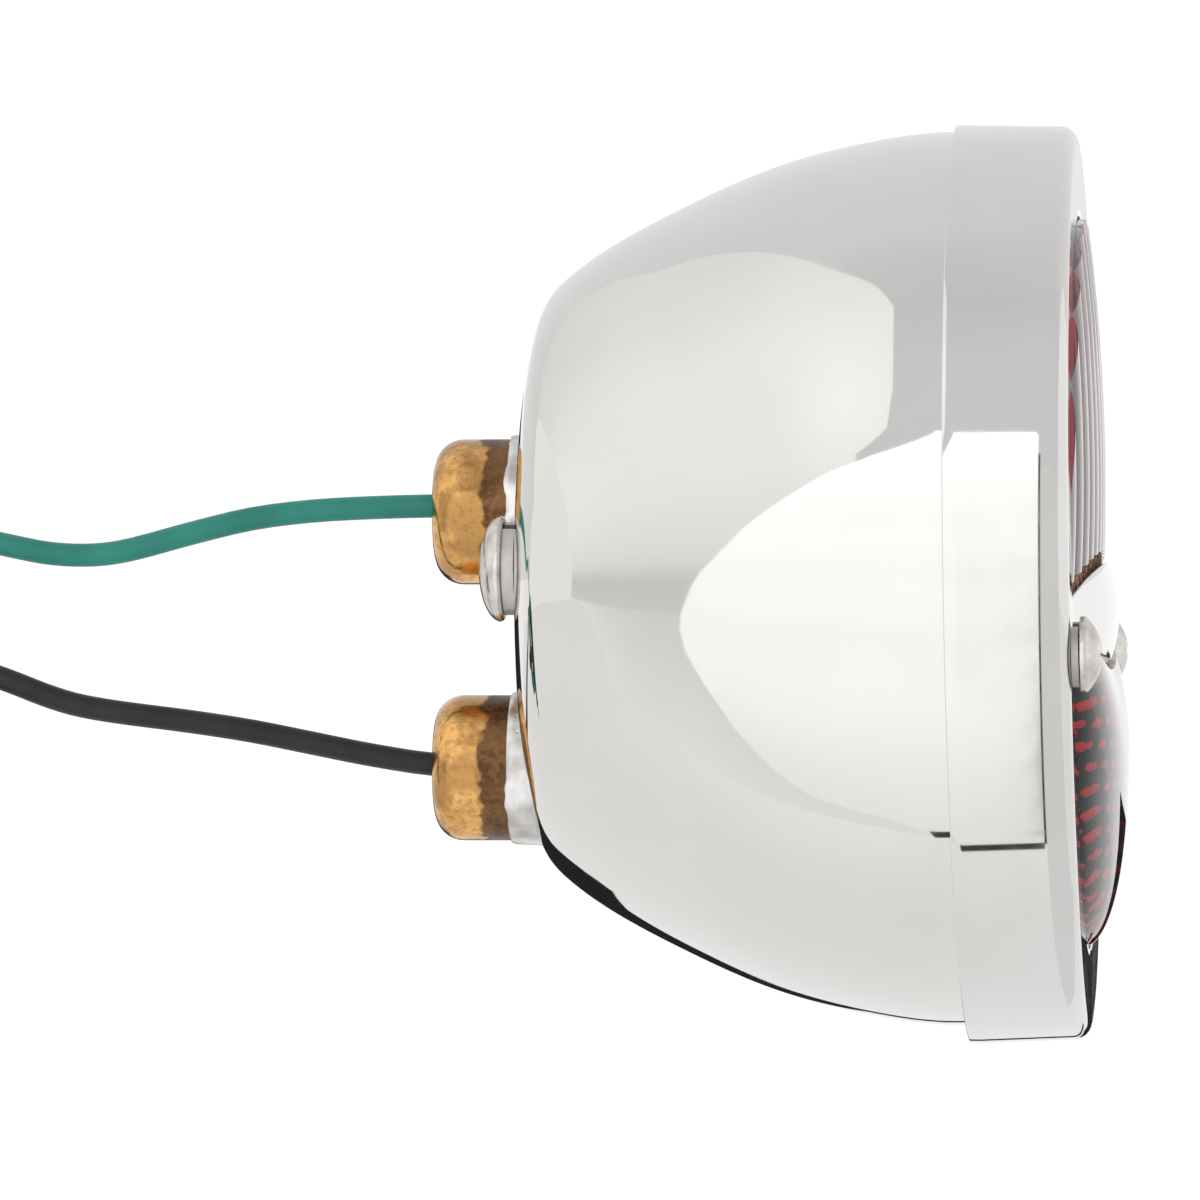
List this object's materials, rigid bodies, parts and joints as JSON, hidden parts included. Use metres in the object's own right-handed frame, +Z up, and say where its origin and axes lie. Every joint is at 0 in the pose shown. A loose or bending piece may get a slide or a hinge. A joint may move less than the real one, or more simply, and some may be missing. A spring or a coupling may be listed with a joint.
{
  "type": "motorcycle tail light",
  "caption": "Round bowl-shaped motorcycle tail light with a fluted stop lens over a bulging tail lens, lift-off door, brass bayonet sockets and pigtail leads.",
  "frame": {"origin": "on the bowl's axis at the flat rear face, where the lamp is bolted to its bracket", "axes": "+X is the way the light shines, +Z is up with the stop lamp above the tail lamp, +Y is the lamp's left side seen from behind the motorcycle's rider"},
  "size_m": [0.1791, 0.1082, 0.1082],
  "materials": {
    "bowl_steel": "mirror-polished stainless steel",
    "door_steel": "mirror-polished stainless steel with fine radial polishing marks",
    "fastener_steel": "bright stainless steel",
    "plain_steel": "plain zinc-plated steel",
    "socket_brass": "raw brass, polished in patches and browned by soldering heat",
    "contact_brass": "bright brass",
    "tinned_metal": "wiped solder",
    "upper_red_glass": "dark red glass with upright flutes",
    "lower_red_glass": "dark red glass with a beaded inside",
    "clear_glass": "clear bulb glass",
    "cork": "pressed cork",
    "fibre": "dark fibre board",
    "green_cover": "green wire insulation",
    "black_cover": "black wire insulation"
  },
  "bodies": {
    "housing": {"bowl": "bowl_steel", "baffle": "plain_steel", "left_door_bracket": "plain_steel", "right_door_bracket": "plain_steel", "stop_socket_shell": "socket_brass", "stop_socket_collar": "tinned_metal", "stop_contact_spring": "plain_steel", "tail_socket_shell": "socket_brass", "tail_socket_collar": "tinned_metal", "tail_contact_spring": "plain_steel", "left_mount_screw": "fastener_steel", "left_mount_lock_washer": "fastener_steel", "left_mount_washer": "plain_steel", "left_mount_nut": "plain_steel", "right_mount_screw": "fastener_steel", "right_mount_lock_washer": "fastener_steel", "right_mount_washer": "plain_steel", "right_mount_nut": "plain_steel", "stop_lead": "green_cover", "tail_lead": "black_cover", "stop_lead_end": "green_cover", "tail_lead_end": "black_cover", "stop_lead_tip": "tinned_metal", "tail_lead_tip": "tinned_metal", "lead_coil": "black_cover", "lead_tie": "black_cover"},
    "stop_plunger": {"stop_contact_disc": "fibre", "stop_contact_button": "contact_brass"},
    "stop_bulb": {"stop_bulb_tip": "tinned_metal", "stop_bulb_insulator": "fibre", "stop_bulb_base": "contact_brass", "stop_bulb_glass": "clear_glass", "stop_bulb_stem": "clear_glass", "stop_bulb_filament": "plain_steel"},
    "tail_plunger": {"tail_contact_disc": "fibre", "tail_contact_button": "contact_brass"},
    "tail_bulb": {"tail_bulb_tip": "tinned_metal", "tail_bulb_insulator": "fibre", "tail_bulb_base": "contact_brass", "tail_bulb_glass": "clear_glass", "tail_bulb_stem": "clear_glass", "tail_bulb_filament": "plain_steel"},
    "door": {"bezel": "door_steel", "upper_lens": "upper_red_glass", "lower_lens": "lower_red_glass", "upper_lens_gasket": "cork", "lower_lens_gasket": "cork", "lens_retainer": "plain_steel"},
    "right_door_washer": {"right_door_lock_washer": "fastener_steel"},
    "right_door_fastener": {"right_door_screw": "fastener_steel"},
    "left_door_washer": {"left_door_lock_washer": "fastener_steel"},
    "left_door_fastener": {"left_door_screw": "fastener_steel"}
  },
  "joints": [
    {"name": "stop_contact_push", "type": "slide", "parent": "housing", "child": "stop_plunger", "axis": [-1, 0, 0], "range_m": [0, 0.002], "stiffness_N_per_m": 700, "springref_m": -0.004, "deforming": ["stop_contact_spring"]},
    {"name": "stop_bulb_turn", "type": "hinge", "parent": "stop_plunger", "child": "stop_bulb", "pos_m": [0, 0, 0.0079], "axis": [1, 0, 0], "range_deg": [0, 18]},
    {"name": "tail_contact_push", "type": "slide", "parent": "housing", "child": "tail_plunger", "axis": [-1, 0, 0], "range_m": [0, 0.002], "stiffness_N_per_m": 700, "springref_m": -0.004, "deforming": ["tail_contact_spring"]},
    {"name": "tail_bulb_turn", "type": "hinge", "parent": "tail_plunger", "child": "tail_bulb", "pos_m": [0, 0, -0.0224], "axis": [1, 0, 0], "range_deg": [0, 18]},
    {"name": "door_lift_off", "type": "slide", "parent": "housing", "child": "door", "axis": [0.9999, 0, 0.0157], "range_m": [0, 0.06]},
    {"name": "right_screw_draw", "type": "slide", "parent": "door", "child": "right_door_washer", "axis": [0.9999, 0, 0.0157], "range_m": [0, 0.0087]},
    {"name": "right_screw_turn", "type": "hinge", "parent": "right_door_washer", "child": "right_door_fastener", "pos_m": [0.05883, -0.0475, -0.0088], "axis": [0.9999, 0, 0.0157], "range_deg": [0, 3960]},
    {"name": "left_screw_draw", "type": "slide", "parent": "door", "child": "left_door_washer", "axis": [0.9999, 0, 0.0157], "range_m": [0, 0.0087]},
    {"name": "left_screw_turn", "type": "hinge", "parent": "left_door_washer", "child": "left_door_fastener", "pos_m": [0.05883, 0.0475, -0.0088], "axis": [0.9999, 0, 0.0157], "range_deg": [0, 3960]}
  ],
  "couplings": [
    {"joint": "right_screw_turn", "follows": "right_screw_draw", "rad_per_m": 7913.3},
    {"joint": "left_screw_turn", "follows": "left_screw_draw", "rad_per_m": 7913.3}
  ]
}
